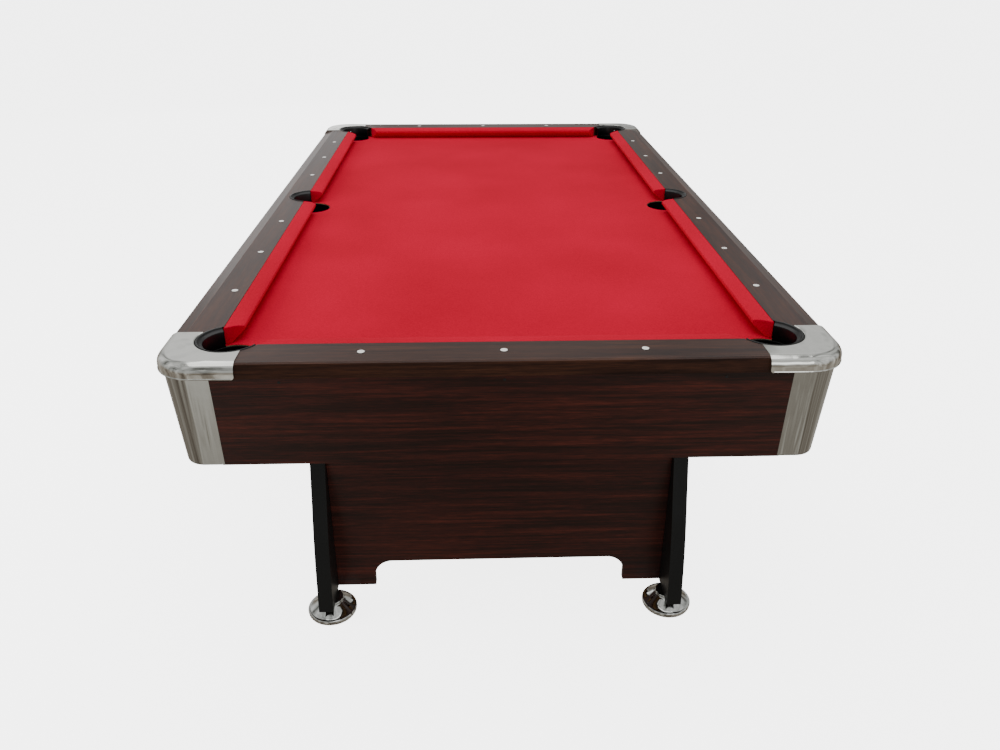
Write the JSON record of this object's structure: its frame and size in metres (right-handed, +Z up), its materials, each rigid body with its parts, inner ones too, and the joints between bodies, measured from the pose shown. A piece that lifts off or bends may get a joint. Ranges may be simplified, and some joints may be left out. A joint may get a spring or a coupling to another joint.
{
  "type": "pool table",
  "caption": "Full-size home pool table with wooden cabinet, cloth bed, rubber cushions, drop pockets, metal corners and bowed board legs on screw feet.",
  "frame": {"origin": "on the floor under the middle of the table", "axes": "+X across the table, +Y along its length towards the head end, +Z up"},
  "size_m": [1.42, 2.54, 0.8],
  "materials": {
    "bed_board": "raw fibreboard",
    "cloth": "napped woven wool blend, bright red",
    "bearer_wood": "raw board",
    "zinc_steel": "zinc plated",
    "black_screw": "black oxide",
    "marker": "white inlay",
    "rail_wood": "mahogany laminate, satin",
    "apron_wood": "mahogany laminate, satin",
    "cushion_rubber": "moulded",
    "liner": "moulded black",
    "chrome": "polished chrome plate",
    "leg_black": "satin black lacquer"
  },
  "bodies": {
    "table": {"bed_slab": "bed_board", "bed_cloth": "cloth", "cross_bearers": "bearer_wood", "foot_inserts": "zinc_steel", "rail_bolts": "zinc_steel", "leg_bolts": "zinc_steel", "apron_screws": "black_screw", "pocket_screws": "zinc_steel", "rail_markers": "marker", "rail_left": "rail_wood", "apron_left": "apron_wood", "rail_right": "rail_wood", "apron_right": "apron_wood", "rail_foot": "rail_wood", "apron_foot": "apron_wood", "rail_head": "rail_wood", "apron_head": "apron_wood", "cushion_left_foot": "cushion_rubber", "cushion_cloth_left_foot": "cloth", "cushion_left_head": "cushion_rubber", "cushion_cloth_left_head": "cloth", "cushion_right_foot": "cushion_rubber", "cushion_cloth_right_foot": "cloth", "cushion_right_head": "cushion_rubber", "cushion_cloth_right_head": "cloth", "cushion_foot": "cushion_rubber", "cushion_cloth_foot": "cloth", "end_panel_foot": "apron_wood", "cushion_head": "cushion_rubber", "cushion_cloth_head": "cloth", "end_panel_head": "apron_wood", "long_bearer_left": "bearer_wood", "pocket_liner_left": "liner", "long_bearer_right": "bearer_wood", "pocket_liner_right": "liner", "corner_casting_foot_left": "chrome", "corner_skirt_foot_left": "chrome", "pocket_liner_foot_left": "liner", "leg_foot_left": "leg_black", "corner_casting_foot_right": "chrome", "corner_skirt_foot_right": "chrome", "pocket_liner_foot_right": "liner", "leg_foot_right": "leg_black", "corner_casting_head_left": "chrome", "corner_skirt_head_left": "chrome", "pocket_liner_head_left": "liner", "leg_head_left": "leg_black", "corner_casting_head_right": "chrome", "corner_skirt_head_right": "chrome", "pocket_liner_head_right": "liner", "leg_head_right": "leg_black"},
    "foot_foot_left": {"foot_pad_foot_left": "chrome"},
    "stem_foot_left": {"foot_stem_foot_left": "zinc_steel"},
    "foot_foot_right": {"foot_pad_foot_right": "chrome"},
    "stem_foot_right": {"foot_stem_foot_right": "zinc_steel"},
    "foot_head_left": {"foot_pad_head_left": "chrome"},
    "stem_head_left": {"foot_stem_head_left": "zinc_steel"},
    "foot_head_right": {"foot_pad_head_right": "chrome"},
    "stem_head_right": {"foot_stem_head_right": "zinc_steel"}
  },
  "joints": [
    {"name": "level_foot_left", "type": "slide", "parent": "table", "child": "foot_foot_left", "axis": [0, 0, 1], "range_m": [-0.02, 0]},
    {"name": "stem_turn_foot_left", "type": "hinge", "parent": "foot_foot_left", "child": "stem_foot_left", "pos_m": [-0.433, -1.078, 0.05], "axis": [0, 0, 1], "range_deg": [-3600, 0]},
    {"name": "level_foot_right", "type": "slide", "parent": "table", "child": "foot_foot_right", "axis": [0, 0, 1], "range_m": [-0.02, 0]},
    {"name": "stem_turn_foot_right", "type": "hinge", "parent": "foot_foot_right", "child": "stem_foot_right", "pos_m": [0.433, -1.078, 0.05], "axis": [0, 0, 1], "range_deg": [-3600, 0]},
    {"name": "level_head_left", "type": "slide", "parent": "table", "child": "foot_head_left", "axis": [0, 0, 1], "range_m": [-0.02, 0]},
    {"name": "stem_turn_head_left", "type": "hinge", "parent": "foot_head_left", "child": "stem_head_left", "pos_m": [-0.433, 1.078, 0.05], "axis": [0, 0, 1], "range_deg": [-3600, 0]},
    {"name": "level_head_right", "type": "slide", "parent": "table", "child": "foot_head_right", "axis": [0, 0, 1], "range_m": [-0.02, 0]},
    {"name": "stem_turn_head_right", "type": "hinge", "parent": "foot_head_right", "child": "stem_head_right", "pos_m": [0.433, 1.078, 0.05], "axis": [0, 0, 1], "range_deg": [-3600, 0]}
  ],
  "couplings": [
    {"joint": "stem_turn_foot_left", "follows": "level_foot_left", "rad_per_m": 3141.6},
    {"joint": "stem_turn_foot_right", "follows": "level_foot_right", "rad_per_m": 3141.6},
    {"joint": "stem_turn_head_left", "follows": "level_head_left", "rad_per_m": 3141.6},
    {"joint": "stem_turn_head_right", "follows": "level_head_right", "rad_per_m": 3141.6}
  ]
}
